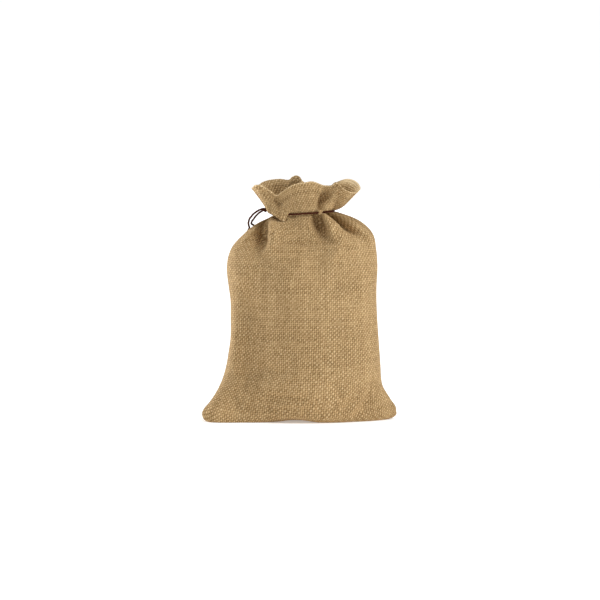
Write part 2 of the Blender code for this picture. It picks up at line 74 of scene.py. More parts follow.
# the two centre lines, in mm, the same points as the CAD tubes have
TAIL_OUTER = (
    (-37.3, -5.1, 217.6), (-39.9, -5.2, 216.8), (-42.4, -5.1, 215.5), (-44.7, -4.7, 214.0),
    (-46.8, -4.3, 212.2), (-48.7, -3.7, 210.2), (-50.3, -2.8, 208.1), (-51.4, -1.7, 205.9),
    (-51.9, -0.1, 203.6), (-52.0, 1.9, 201.7), (-51.8, 4.3, 200.3), (-51.4, 6.7, 198.9),
    (-51.4, 9.0, 197.4), (-52.0, 11.1, 195.7), (-53.0, 13.0, 193.9), (-54.1, 14.7, 192.0),
    (-55.3, 16.4, 190.2), (-56.5, 18.1, 188.3), (-57.6, 19.6, 186.2), (-58.6, 20.8, 184.0),
    (-59.6, 22.0, 181.6),
)
TAIL_INNER = (
    (-37.0, -2.9, 215.8), (-39.3, -2.1, 214.5), (-41.4, -1.0, 213.0), (-43.3, 0.2, 211.3),
    (-44.9, 1.3, 209.4), (-46.4, 2.5, 207.3), (-47.9, 3.7, 205.3), (-49.0, 5.2, 203.3),
    (-48.8, 7.3, 201.5), (-47.2, 9.3, 200.5), (-45.5, 11.3, 199.6), (-44.5, 13.5, 198.3),
    (-45.0, 15.7, 196.7), (-46.1, 17.7, 195.2), (-47.2, 19.7, 193.5), (-48.0, 21.6, 191.7),
    (-48.7, 23.5, 189.7), (-49.3, 25.3, 187.8),
)


def hermite(knots, values, at):
    """Cubic through values at knots, its slope at each knot the mean of the slopes on
    its two sides."""
    step = np.diff(knots)
    slope = np.diff(values, axis=0) / step[:, None]
    tangent = np.concatenate([slope[:1], 0.5 * (slope[:-1] + slope[1:]), slope[-1:]])
    at = np.clip(at, knots[0], knots[-1])
    cell = np.clip(np.searchsorted(knots, at, side="right") - 1, 0, len(step) - 1)
    h = step[cell]
    t = (at - knots[cell]) / h
    a = 2 * t ** 3 - 3 * t ** 2 + 1
    b = (t ** 3 - 2 * t ** 2 + t) * h
    c = 3 * t ** 2 - 2 * t ** 3
    d = (t ** 3 - t ** 2) * h
    return (a[..., None] * values[cell] + b[..., None] * tangent[cell]
            + c[..., None] * values[cell + 1] + d[..., None] * tangent[cell + 1])


def run_along(points):
    """Length along a line of points, from 0 at the first."""
    return np.concatenate([[0], np.cumsum(np.linalg.norm(np.diff(points, axis=0), axis=1))])


def along(points, spacing, closed=False):
    """Points at an even spacing on the smooth curve through a route."""
    if closed:
        points = np.concatenate([points, points[:1]])
    run = run_along(points)
    fine = hermite(run, points, np.linspace(0, run[-1], 4000))
    length = run_along(fine)
    count = max(4, int(round(length[-1] / spacing)) + 1)
    goal = np.linspace(0, length[-1], count)
    spaced = np.stack([np.interp(goal, length, fine[:, k]) for k in range(3)], axis=1)
    return spaced[:-1] if closed else spaced


def make_mesh(name, points, quads, uv, tris):
    """A smooth-shaded mesh object from arrays of points and quads and a list of triangles;
    uv is one pair for each corner of each face, quads first."""
    mesh = bpy.data.meshes.new(name)
    faces = quads.tolist() + tris
    mesh.from_pydata(points.tolist(), [], faces)
    mesh.polygons.foreach_set("use_smooth", np.ones(len(faces), bool))
    layer = mesh.uv_layers.new(name="cloth")
    layer.data.foreach_set("uv", uv.astype(np.float32).ravel())
    mesh.update()
    thing = bpy.data.objects.new(name, mesh)
    bpy.context.collection.objects.link(thing)
    return thing


def tube_quads(rows, around, closed=False):
    """The quads between the rings of a tube whose points are numbered ring by ring; a
    closed tube's last ring joins its first."""
    r = np.arange(rows if closed else rows - 1)[:, None]
    c = np.arange(around)[None, :]
    nr = (r + 1) % rows
    nc = (c + 1) % around
    return np.stack(np.broadcast_arrays(
        r * around + c, r * around + nc, nr * around + nc, nr * around + c), axis=-1).reshape(-1, 4)


def end_caps(rows, around):
    """The triangles that close a tube's two ends on to the two points that follow its rings."""
    first = rows * around
    last = first - around
    return ([(first, (k + 1) % around, k) for k in range(around)]
            + [(first + 1, last + k, last + (k + 1) % around) for k in range(around)])


def laid_cord(name, route, diameter, closed=False, spacing=0.42 * MM, around=18):
    """A laid cord: round the centre line, radius = r (0.955 + 0.081 cos(plies * angle -
    2 pi s / lay)), so each ply is a swell that winds along the cord. Cut ends are drawn in
    and capped. Its uv is part of a turn and mm. Returns the object and its centre line."""
    path = along(route, spacing, closed)
    count = len(path)
    if closed:
        tangent = np.roll(path, -1, axis=0) - np.roll(path, 1, axis=0)
    else:
        tangent = np.gradient(path, axis=0)
    tangent /= np.linalg.norm(tangent, axis=1)[:, None]
    normal = np.empty_like(path)
    start = np.cross(tangent[0], (0.31, 0.22, 0.93))
    normal[0] = start / np.linalg.norm(start)
    for k in range(1, count):
        n = normal[k - 1] - tangent[k] * np.dot(normal[k - 1], tangent[k])
        normal[k] = n / np.linalg.norm(n)
    binormal = np.cross(tangent, normal)
    run = run_along(path)
    turn = np.arange(around) * 2 * math.pi / around
    if closed:
        whole = run[-1] + np.linalg.norm(path[0] - path[-1])
        lay = whole / round(whole / LAY_LENGTH)
        end = normal[-1] - tangent[0] * np.dot(normal[-1], tangent[0])
        slip = math.atan2(np.dot(end, binormal[0]), np.dot(end, normal[0]))
        turn = turn[None, :] - (slip * np.arange(count) / count)[:, None]
    else:
        lay = LAY_LENGTH
        turn = np.repeat(turn[None, :], count, axis=0)
    swell = 1 + 0.085 * np.cos(PLIES * turn - (2 * math.pi * run / lay)[:, None])
    radius = 0.5 * diameter * 0.955 * swell
    if not closed:
        taper = np.clip(np.minimum(run, run[-1] - run) / (0.35 * diameter), 0, 1)
        radius *= (0.55 + 0.45 * np.sqrt(taper))[:, None]
    rings = path[:, None, :] + radius[..., None] * (
        np.cos(turn)[..., None] * normal[:, None, :]
        + np.sin(turn)[..., None] * binormal[:, None, :])
    r = np.arange(count if closed else count - 1)[:, None, None]
    c = np.arange(around)[None, :, None]
    uv = np.stack(np.broadcast_arrays(
        (c + (0, 1, 1, 0)) / around, (r + (0, 0, 1, 1)) * spacing * 1000), axis=-1).reshape(-1, 2)
    points = rings.reshape(-1, 3)
    tris = []
    if not closed:
        points = np.concatenate([points, path[:1], path[-1:]])
        tris = end_caps(count, around)
        uv = np.concatenate([uv, np.zeros((len(tris) * 3, 2))])
    return make_mesh(name, points, tube_quads(count, around, closed), uv, tris), path


def linear(hex_colour):
    """sRGB hex to a linear RGBA colour."""
    parts = [int(hex_colour[k:k + 2], 16) / 255 for k in (1, 3, 5)]
    return (*(p / 12.92 if p <= 0.04045 else ((p + 0.055) / 1.055) ** 2.4 for p in parts), 1.0)


def add_node(tree, kind, settings=None, *values, **inputs):
    """Add a node, set its properties (a dict, or one word for its operation), then set or
    link its inputs: values in their order, the rest by name (spaces written as _) or, for
    names that start with i, by number. A node given as a value is its first output."""
    node = tree.nodes.new(kind)
    if isinstance(settings, str):
        settings = {"operation": settings}
    for key, value in (settings or {}).items():
        setattr(node, key, value)
    plugs = [(node.inputs[k], value) for k, value in enumerate(values)]
    plugs += [(node.inputs[int(key[1:])] if key[1:].isdigit() else
               node.inputs[key.replace("_", " ")], value) for key, value in inputs.items()]
    for plug, value in plugs:
        if isinstance(value, (bpy.types.Node, bpy.types.NodeSocket)):
            tree.links.new(getattr(value, "outputs", [value])[0], plug)
        else:
            plug.default_value = value
    return node


def new_material(name):
    """An empty node material with a Principled shader; returns both and the tree."""
    made = bpy.data.materials.new(name)
    made.use_nodes = True
    return made, made.node_tree, made.node_tree.nodes["Principled BSDF"]


# Waxed cotton cord: dark red-brown, almost black in the grooves between the plies, with
# the dull shine of wax on the crowns.
waxed_cord, tree, shader = new_material("waxed_cotton_cord")
coords = add_node(tree, "ShaderNodeUVMap", {"uv_map": "cloth"})
fibre = add_node(tree, "ShaderNodeTexNoise", None, add_node(
    tree, "ShaderNodeMapping", None, coords, Scale=(9.0, 1.4, 1.0)),
    Scale=1.0, Detail=4.0, Roughness=0.6)
tone = add_node(tree, "ShaderNodeValToRGB", None, fibre)
tone.color_ramp.elements[0].position = 0.30
tone.color_ramp.elements[0].color = linear("#2C0E03")
tone.color_ramp.elements[1].position = 0.72
tone.color_ramp.elements[1].color = linear("#56220A")
tree.links.new(tone.outputs[0], shader.inputs["Base Color"])
shader.inputs["Roughness"].default_value = 0.68
shader.inputs["Specular IOR Level"].default_value = 0.14
bump = add_node(tree, "ShaderNodeBump", Height=fibre, Strength=0.35, Distance=0.2 * MM)
tree.links.new(bump.outputs[0], shader.inputs["Normal"])

# each tail starts inside the knot, and loosely laid ends are a little fuller than the ring
INTO_KNOT = np.array((2.4, 0.4, -0.3)) * MM
LOOSE = 1.12
for name, route in (("tail_outer", TAIL_OUTER), ("tail_inner", TAIL_INNER)):
    route = np.array(route) * MM
    route = np.concatenate([route[:1] + INTO_KNOT, route])
    tail, path = laid_cord(name + "_cord", route, LOOSE * CORD_D)
    tail.data.materials.append(waxed_cord)
    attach(tail, "root")
    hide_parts(name)


# ---------------------------------------------------------------------------
# The sack. Plain-weave jute hessian sewn to a flat bag 200 mm wide, filled, drawn
# in at the neck and open above as a ruffle with a turned hem. One closed surface:
# u runs round it from the left seam by the front, v up the outside and down inside.
# ---------------------------------------------------------------------------
COLUMNS = 496            # points round a ring
GIRTH = 400.0            # mm of cloth round the bag
HEM = 2.0                # thickness of the turned hem
NECK = (-27.4, 35.2, -25.0, 24.0)       # left, right, front and back at the cord
NECK_Z = 213.6
NECK_SLOPE = 0.066
MIDDLE = 0.5 * (NECK[0] + NECK[1])
RUFFLE_TALL = 28.0       # from the cord to the rim
# the left bottom corner comes forward, the right one goes back, both below EAR_TOP
EAR_FORWARD = 27.0
EAR_BACK = 5.0
EAR_TOP = 46.0
# the rings of the base, from its seam out
UNDER = (0.0, 0.02, 0.25, 0.5, 0.75, 0.92)
# the rings of the throat, inwards
THROAT = (0.96, 0.9, 0.82, 0.72, 0.6, 0.47, 0.34, 0.22, 0.12, 0.05)

# height, reach to the left, right, front and back, squareness of the section
BODY = (
    (0, -92.4, 93, -35, 34, 1.70),
    (1.2, -95.8, 96.8, -38.6, 38, 1.62),
    (4, -98.2, 100.4, -41.2, 40.8, 1.50),
    (9, -99.4, 100.6, -43, 42.6, 1.44),
    (13.5, -97.4, 100, -44.2, 43.8, 1.47),
    (19, -92.4, 96.4, -45.2, 44.8, 1.56),
    (26, -87, 92.2, -46, 45.6, 1.70),
    (34, -82.2, 87.2, -46.6, 46.2, 1.92),
    (43, -78.4, 84.8, -47, 46.6, 2.10),
    (55, -75.4, 83.6, -47.2, 46.8, 2.20),
    (70, -73.4, 82.6, -47.2, 46.8, 2.28),
    (87, -70.8, 81.8, -47, 46.6, 2.30),
    (105, -70, 81, -46.6, 46.2, 2.30),
    (123, -70.4, 80.2, -46.2, 45.8, 2.30),
    (140, -73, 79.8, -45.6, 45.2, 2.30),
    (155, -74.4, 80.2, -44.6, 44.2, 2.28),
    (168, -73, 80, -43, 42.6, 2.24),
    (178, -69.2, 79.4, -41, 40.6, 2.20),
    (186, -63.8, 78.4, -38.8, 38.4, 2.18),
    (193, -57.6, 75, -36.4, 36, 2.14),
    (199, -51.6, 68.6, -33.8, 33.2, 2.10),
    (203.5, -45.8, 61.6, -31.4, 30.6, 2.06),
    (207, -40, 54, -29.2, 28.2, 2.02),
    (209.8, -33.6, 46.4, -27.2, 26.2, 2.00),
    (211.9, -29.4, 40.2, -25.5, 24.5, 2.00),
)
# rim: part of the way round, x, y, z, how the cloth flares on the way up
RIM = (
    (0.000, -48.4, 0, 238.2, 0.92),
    (0.024, -46.2, -11, 240.6, 0.95),
    (0.040, -43.6, -19, 241.8, 0.95),
    (0.058, -39.8, -22, 241.9, 0.97),
    (0.095, -32, -20, 237.6, 1.00),
    (0.130, -23.8, -16.6, 231.4, 1.10),
    (0.150, -19.2, -20.6, 234.2, 1.10),
    (0.175, -14, -25.2, 237.5, 1.10),
    (0.210, -7.4, -28.2, 241.6, 1.10),
    (0.240, -0.4, -29, 243.8, 1.10),
    (0.270, 6.4, -28.6, 244.6, 1.10),
    (0.300, 13, -26.8, 245.6, 1.05),
    (0.325, 18.4, -24.6, 244.4, 1.05),
    (0.345, 22.6, -22.6, 242.6, 1.00),
    (0.385, 28.8, -19.6, 241.2, 0.95),
    (0.410, 34, -19.8, 241.6, 0.82),
    (0.428, 38, -21, 244.6, 0.76),
    (0.446, 41.6, -22, 242.4, 0.68),
    (0.462, 44.4, -22.2, 239.4, 0.62),
    (0.480, 49, -20.6, 236.4, 0.58),
    (0.505, 55.4, -16, 234.2, 0.52),
    (0.540, 61.4, -6.4, 235.4, 0.52),
    (0.570, 63.2, 4, 239.2, 0.66),
    (0.610, 59.2, 15, 244.8, 1.40),
    (0.660, 50.4, 24, 246.8, 2.00),
    (0.705, 40.4, 25.6, 243.8, 1.70),
    (0.750, 31.4, 20.6, 239.4, 0.95),
    (0.790, 21.6, 18, 239.8, 0.80),
    (0.830, 10.4, 17.6, 242.8, 0.75),
    (0.862, 3, 16.4, 245.2, 0.75),
    (0.871, 0.8, 16, 248.8, 0.75),
    (0.886, -3.4, 15.8, 250.6, 0.75),
    (0.901, -7.8, 16.4, 249, 0.75),
    (0.911, -10.4, 17.2, 246.4, 0.75),
    (0.940, -21, 17.2, 247, 0.75),
    (0.962, -32.4, 14.6, 245.8, 0.80),
    (0.978, -39, 10.8, 243.5, 0.85),
    (0.988, -43.6, 7, 239.8, 0.90),
)
# folds of the body: rows of height, part of the way round, half width towards the left
# seam side, half width on the other side, depth
FOLDS = (
    ((213, 0.020, 0.024, 0.016, 3), (206, 0.050, 0.030, 0.013, 3),
     (190, 0.110, 0.036, 0.015, 3), (176, 0.136, 0.040, 0.024, 0)),
    ((188, 0.296, 0.024, 0.020, 0), (176, 0.296, 0.026, 0.024, 4.4),
     (160, 0.294, 0.026, 0.026, 3.4), (136, 0.292, 0.030, 0.030, 0)),
    ((214, 0.357, 0.010, 0.018, -3.6), (205.3, 0.336, 0.010, 0.022, -5),
     (196, 0.331, 0.012, 0.024, -4.4), (188, 0.331, 0.016, 0.026, -2.4),
     (172, 0.333, 0.024, 0.028, 0)),
    ((214.5, 0.414, 0.028, 0.026, 8), (208.6, 0.401, 0.024, 0.022, 17),
     (203.6, 0.393, 0.020, 0.020, 19), (197.6, 0.395, 0.024, 0.020, 16.5),
     (191, 0.407, 0.028, 0.022, 9), (178, 0.424, 0.032, 0.028, 0)),
    ((212, 0.190, 0.018, 0.018, 2.2), (204, 0.200, 0.022, 0.022, 1.6),
     (188, 0.212, 0.030, 0.030, 0)),
    ((212, 0.262, 0.018, 0.018, 1.8), (204, 0.256, 0.022, 0.022, 1.4),
     (190, 0.250, 0.030, 0.030, 0)),
    ((212, 0.480, 0.016, 0.018, 4), (203, 0.478, 0.022, 0.020, 5),
     (190, 0.470, 0.030, 0.026, 0)),
    ((212, 0.560, 0.014, 0.018, 4.5), (203, 0.572, 0.018, 0.024, 6),
     (188, 0.584, 0.024, 0.030, 2.4), (172, 0.590, 0.034, 0.034, 0)),
    ((212, 0.645, 0.018, 0.014, 4.5), (202, 0.655, 0.026, 0.018, 6.5),
     (186, 0.668, 0.032, 0.024, 2.6), (166, 0.675, 0.036, 0.034, 0)),
    ((212, 0.735, 0.014, 0.018, 5), (202, 0.735, 0.018, 0.026, 7.5),
     (188, 0.738, 0.024, 0.034, 3.6), (162, 0.742, 0.034, 0.038, 0)),
    ((212, 0.815, 0.018, 0.014, 4.5), (202, 0.808, 0.026, 0.018, 6.5),
     (186, 0.800, 0.032, 0.024, 2.6), (168, 0.795, 0.036, 0.036, 0)),
    ((212, 0.895, 0.014, 0.018, 4), (203, 0.880, 0.018, 0.024, 6),
     (188, 0.868, 0.024, 0.030, 2.2), (172, 0.862, 0.034, 0.034, 0)),
    ((212, 0.960, 0.018, 0.014, 3.5), (204, 0.948, 0.024, 0.018, 4.5),
     (190, 0.938, 0.030, 0.026, 0)),
    ((50, 0.436, 0.014, 0.014, 0), (34, 0.432, 0.015, 0.020, 2.8),
     (18, 0.412, 0.016, 0.024, 5), (5, 0.392, 0.020, 0.026, 2.6),
     (-4, 0.386, 0.026, 0.026, 0)),
    ((58, 0.060, 0.026, 0.026, 0), (36, 0.064, 0.028, 0.026, 1.8),
     (18, 0.080, 0.030, 0.024, 3), (5, 0.100, 0.028, 0.026, 1.5),
     (-4, 0.104, 0.028, 0.028, 0)),
    ((54, 0.570, 0.022, 0.022, 0), (34, 0.572, 0.024, 0.022, 2),
     (16, 0.590, 0.026, 0.024, 3.4), (0, 0.610, 0.026, 0.026, 0)),
    ((54, 0.940, 0.022, 0.022, 0), (34, 0.936, 0.024, 0.022, 2),
     (16, 0.918, 0.026, 0.024, 3.2), (0, 0.898, 0.026, 0.026, 0)),
    ((9, 0.215, 0.050, 0.050, 0), (4, 0.215, 0.052, 0.052, 2.2),
     (1.2, 0.215, 0.054, 0.054, 6.5), (0, 0.215, 0.056, 0.056, 9)),
)
# pockets pressed straight back, less than 0 forward, in the same rows, with one more
# number for how blunt the bell is: the left shoulder behind the front panel's edge, that
# edge, the long hollow down the left of the front, the belly of the front in two parts,
# the left and the right shoulder's swell, the hollow under the flap that hangs over the
# cord, and the pocket below it
BACKS = (
    ((213, 0.044, 0.030, 0.010, 0, 2.4), (209, 0.050, 0.036, 0.009, 7, 2.4),
     (206, 0.081, 0.050, 0.008, 13, 2.6), (203, 0.094, 0.050, 0.008, 17, 2.6),
     (198, 0.110, 0.048, 0.008, 20.5, 2.6), (192, 0.120, 0.046, 0.008, 21.5, 2.6),
     (187, 0.129, 0.046, 0.009, 20, 2.6), (182, 0.131, 0.044, 0.012, 15, 2.4),
     (176, 0.131, 0.042, 0.018, 8, 2.2), (166, 0.134, 0.042, 0.032, 2.4, 2),
     (150, 0.136, 0.044, 0.040, 0, 2)),
    ((213, 0.072, 0.012, 0.026, 0, 2), (206, 0.101, 0.009, 0.028, -2.6, 2),
     (198, 0.128, 0.009, 0.030, -3.8, 2), (190, 0.142, 0.010, 0.032, -4, 2),
     (182, 0.151, 0.012, 0.034, -3, 2), (166, 0.156, 0.024, 0.036, 0, 2)),
    ((170, 0.134, 0.040, 0.040, 0, 2), (154, 0.132, 0.036, 0.044, 4.5, 2),
     (130, 0.112, 0.036, 0.078, 10, 2), (95, 0.108, 0.036, 0.088, 14.2, 2),
     (60, 0.107, 0.036, 0.088, 16.2, 2), (38, 0.109, 0.038, 0.080, 13.4, 2),
     (18, 0.111, 0.042, 0.070, 5.6, 2), (4, 0.112, 0.044, 0.064, 1.2, 2),
     (-4, 0.112, 0.044, 0.064, 0, 2)),
    ((202, 0.238, 0.036, 0.036, 0, 2), (180, 0.238, 0.044, 0.044, 4.2, 2),
     (160, 0.240, 0.050, 0.050, 0.6, 2), (138, 0.243, 0.055, 0.055, -3.2, 2),
     (108, 0.245, 0.060, 0.060, -2.4, 2), (70, 0.245, 0.060, 0.060, 0, 2)),
    ((184, 0.212, 0.042, 0.044, 0, 2), (170, 0.210, 0.042, 0.044, -2.2, 2),
     (152, 0.207, 0.042, 0.044, -4.6, 2), (136, 0.206, 0.042, 0.044, -4.2, 2),
     (116, 0.206, 0.044, 0.044, -1.6, 2), (92, 0.206, 0.044, 0.044, 0, 2)),
    ((180, 0.100, 0.040, 0.034, 0, 2), (166, 0.100, 0.040, 0.034, -1.4, 2),
     (154, 0.098, 0.040, 0.034, -2.6, 2), (144, 0.094, 0.038, 0.034, -1.8, 2),
     (130, 0.090, 0.036, 0.034, 0, 2)),
    ((206, 0.340, 0.024, 0.050, 0, 2), (194, 0.338, 0.025, 0.054, -1.6, 2),
     (178, 0.335, 0.027, 0.060, -3, 2), (162, 0.333, 0.032, 0.060, -2.4, 2),
     (140, 0.333, 0.038, 0.060, -1.6, 2), (118, 0.334, 0.040, 0.060, -0.6, 2),
     (98, 0.334, 0.040, 0.060, 0, 2)),
    ((214, 0.050, 0.040, 0.030, 2, 2), (211.5, 0.092, 0.036, 0.030, 7.4, 2.4),
     (209.4, 0.126, 0.040, 0.024, 9, 2.6), (207.6, 0.148, 0.030, 0.018, 5.5, 2.2),
     (205.4, 0.156, 0.024, 0.016, 0, 2)),
    ((214.5, 0.318, 0.024, 0.020, 5, 3), (213, 0.316, 0.024, 0.019, 8, 3.6),
     (208, 0.305, 0.026, 0.021, 13, 4), (203, 0.296, 0.028, 0.023, 15.5, 4),
     (198, 0.297, 0.027, 0.023, 14.5, 3.6), (193, 0.301, 0.024, 0.019, 9.5, 3),
     (187, 0.304, 0.024, 0.018, 3.5, 2.4), (180, 0.304, 0.030, 0.024, 0, 2)),
)
# the front lower edge stands off the floor a little at the middle: place, half widths, mm,
# and how blunt the bell is
ARCH = ((0.245, 0.036, 0.036, 3, 2),)
# folds of the ruffle: rows of part of the way up, then as above
RUFFLE_FOLDS = (
    ((0, 0.338, 0.012, 0.010, 0), (0.14, 0.345, 0.013, 0.011, 3),
     (0.22, 0.350, 0.018, 0.014, 6), (0.32, 0.358, 0.022, 0.018, 11),
     (0.45, 0.366, 0.024, 0.024, 12), (0.75, 0.378, 0.024, 0.028, 6.5),
     (1, 0.380, 0.024, 0.026, 2)),
    ((0.20, 0.122, 0.030, 0.020, 0), (0.60, 0.127, 0.032, 0.018, 2.4),
     (1, 0.130, 0.034, 0.018, 1.6)),
    ((0, 0.040, 0.010, 0.030, -0.6), (0.40, 0.038, 0.010, 0.030, -2),
     (1, 0.036, 0.012, 0.030, -1.4)),
    ((0, 0.452, 0.018, 0.018, 2.4), (0.40, 0.456, 0.022, 0.022, 2),
     (0.90, 0.460, 0.024, 0.024, 0)),
    ((0, 0.540, 0.018, 0.018, 2.4), (0.45, 0.545, 0.022, 0.022, 2.4),
     (1, 0.550, 0.024, 0.024, 0)),
    ((0, 0.620, 0.018, 0.018, 4), (0.45, 0.625, 0.024, 0.024, 4.4),
     (1, 0.630, 0.026, 0.026, 0)),
    ((0, 0.700, 0.018, 0.018, 4), (0.45, 0.715, 0.024, 0.024, 4),
     (1, 0.735, 0.026, 0.026, 0.4)),
    ((0, 0.780, 0.018, 0.018, 4), (0.45, 0.780, 0.022, 0.022, 4),
     (1, 0.775, 0.024, 0.024, 0)),
    ((0, 0.850, 0.018, 0.018, 4), (0.50, 0.850, 0.022, 0.022, 4),
     (1, 0.852, 0.022, 0.022, 1.2)),
    ((0, 0.928, 0.018, 0.018, 4), (0.50, 0.924, 0.022, 0.022, 3.6),
     (1, 0.920, 0.022, 0.022, 0.4)),
)
# the crests that lap over a pocket: rows of height, place, half widths, and how far the
# crest leans along the cloth, in mm, less than 0 towards the left seam
LAPS = (
    ((212, 0.350, 0.010, 0.016, 0), (205.3, 0.330, 0.012, 0.022, -1.6),
     (196, 0.326, 0.013, 0.026, -2), (186, 0.320, 0.018, 0.028, 0)),
)
# folds of the ruffle that hang over the cord, and how it swells above them: place, half
# widths, share of the profile, how blunt the bell is
DROOPS = ((0.160, 0.085, 0.012, 1.30, 1.4), (0.343, 0.015, 0.015, 0.75, 2.4),
          (0.400, 0.050, 0.050, 0.30, 2))
PUFFS = ((0.130, 0.110, 0.050, 1.00, 3), (0.343, 0.014, 0.030, 0.85, 2),
         (0.400, 0.036, 0.040, 0.75, 2), (0.490, 0.040, 0.040, 0.30, 2))
# profile of such a fold: part of the way up, mm outwards, mm down
DROOP = (
    (0, 0, 0), (0.02, 0.8, -1.3), (0.045, 2.6, -1.4), (0.08, 4, 2.2), (0.12, 4.6, 6.8),
    (0.15, 4.8, 8), (0.19, 4.8, 7.4), (0.25, 4.2, 4.6), (0.33, 3, 1.6), (0.45, 1.4, 0),
    (0.60, 0, 0),
)


def bell(u, place, before, after, blunt=2.0):
    """exp(-(d / w)^blunt) of the distance d round the sack from a place, with its own half
    width w on each side."""
    away = (u - place + 0.5) % 1.0 - 0.5
    return np.exp(-(np.abs(away) / np.where(away < 0, before, after)) ** blunt)


def fold_depth(folds, level, u):
    """Summed depth of the folds at a level: each is a bell that moves, widens and fades
    along its rows."""
    total = np.zeros_like(u)
    for run in folds:
        rows = np.array(sorted(run), float)
        if level <= rows[0, 0] and rows[0, 4] == 0 or level >= rows[-1, 0] and rows[-1, 4] == 0:
            continue
        place, before, after, depth, *blunt = hermite(rows[:, 0], rows[:, 1:], np.array([level]))[0]
        total += depth * bell(u, place, before, after, *blunt)
    return total


def section(left, right, front, back, power, u):
    """Super-ellipse outline with its own reach on each side; u is evenly spaced along it,
    0 at the left, 0.25 in front, 0.5 at the right."""
    angle = np.linspace(0, 2 * math.pi, 4001) + math.pi
    c = np.cos(angle)
    s = np.sin(angle)
    x = 0.5 * (left + right) + 0.5 * (right - left) * np.sign(c) * np.abs(c) ** (2 / power)
    y = np.where(s < 0, -front, back) * np.sign(s) * np.abs(s) ** (2 / power)
    run = np.concatenate([[0], np.cumsum(np.hypot(np.diff(x), np.diff(y)))])
    goal = np.interp(u % 1.0, (0, 0.25, 0.5, 0.75, 1.0), run[::1000])
    return np.interp(goal, run, x), np.interp(goal, run, y)


def push_in(x, y, middle, depth, lean=0.0):
    """Move outline points square to the outline, towards the middle, by depth, and along
    it by lean."""
    tx = np.roll(x, -1) - np.roll(x, 1)
    ty = np.roll(y, -1) - np.roll(y, 1)
    size = np.hypot(tx, ty)
    nx = -ty / size
    ny = tx / size
    side = np.where(nx * (middle - x) - ny * y < 0, -1.0, 1.0)
    return x + side * nx * depth + tx / size * lean, y + side * ny * depth + ty / size * lean


chance = np.random.default_rng(11)
# small gathers: place, half width, depth, reach below and above the cord in mm
GATHERS = 30
gather_at = (np.arange(GATHERS) + chance.uniform(-0.3, 0.3, GATHERS)) / GATHERS
gather_wide = chance.uniform(0.008, 0.014, GATHERS)
gather_deep = chance.uniform(1.0, 2.8, GATHERS) * np.where(
    (gather_at > 0.10) & (gather_at < 0.31), 0.25, 1.0)
gather_down = chance.uniform(5.0, 20.0, GATHERS)
gather_up = chance.uniform(8.0, 26.0, GATHERS)


def gathers(height, u):
    """Small gathers at a height above (+) or below (-) the cord: valleys that are deepest
    at the cord and die away over their own reach."""
    away = (u[None, :] - gather_at[:, None] + 0.5) % 1.0 - 0.5
    reach = gather_up if height > 0 else gather_down
    fade = np.exp(-(abs(height) / reach) ** 1.5) * gather_deep
    return (fade[:, None] * np.exp(-(away / gather_wide[:, None]) ** 2)).sum(axis=0)


def unevenness(u, v, scale, seed):
    """Smooth irregular waves, about -1 to 1, closed round the sack: a sum of cosines with
    random directions and phases."""
    random = np.random.default_rng(seed)
    total = 0.0
    for k in range(9):
        turns = random.integers(-3, 4) if k < 5 else random.integers(-7, 8)
        pitch = random.uniform(0.6, 1.6) * scale
        total = total + np.cos(2 * math.pi * (turns * u + v / pitch) + random.uniform(0, 6.28))
    return total / 3.4


def tucked(folds, small):
    """How much cloth a place hides: 0.06 of a fold's depth past 3 mm, 0.8 of a gather's."""
    return 0.06 * np.clip(folds - 3.0, 0, None) + 0.8 * small


def bells(table, u):
    """Sum of a table's bells, each times its share."""
    return sum(share * bell(u, place, before, after, blunt)
               for place, before, after, share, blunt in table)


u = np.arange(COLUMNS) / COLUMNS
body_rows = np.array(BODY)
# the levels of the rings lie closer together where the cloth bends most
heights = np.concatenate([
    [0.0, 0.3, 0.7, 1.2, 1.9, 2.8], np.arange(4.0, 20.0, 1.25), np.arange(20.0, 44.0, 2.0),
    np.arange(44.0, 164.0, 3.0), np.arange(164.0, 190.0, 1.6), np.arange(190.0, 209.0, 1.0),
    np.arange(209.2, 212.0, 0.7)])
outer = []
hidden = []
for z in heights:
    left, right, front, back, power = hermite(body_rows[:, 0], body_rows[:, 1:], np.array([z]))[0]
    x, y = section(left, right, front, back, power, u)
    middle = 0.5 * (left + right)
    folds = fold_depth(FOLDS, z, u)
    small = gathers(z - NECK_Z, u)
    waves = 0.55 * unevenness(u, z, 70.0, 3) * np.clip((z - 6) / 20, 0, 1)
    waves *= np.clip((212 - z) / 20, 0, 1)
    x, y = push_in(x, y, middle, folds + small + waves, fold_depth(LAPS, z, u))
    backs = fold_depth(BACKS, z, u)
    hidden.append(tucked(folds + backs, small))
    low = np.clip(1 - z / EAR_TOP, 0, 1) ** 0.8
    y = y + backs
    y = y + low * (EAR_BACK * np.clip((x - 40) / 60, 0, 1) ** 1.5
                   - EAR_FORWARD * np.clip((-x - 30) / 68, 0, 1) ** 1.5)
    tilt = NECK_SLOPE * np.clip((z - 180) / 32, 0, 1) * (x - middle)
    arch = bells(ARCH, u) * np.clip(1 - z / 12, 0, 1) ** 1.5
    outer.append(np.stack([x, y, z + tilt + arch], axis=1))
base = outer[0]
seam_y = np.interp(base[:, 0], (-92, -50, 50, 85), (-11, -3, 0, 2))
seam = np.column_stack([base[:, 0], seam_y, np.zeros(COLUMNS)])
below = [seam + (base - seam) * share for share in UNDER]
for ring, share in zip(below, UNDER):
    ring[:, 2] *= share
hidden = [hidden[0]] * len(below) + hidden

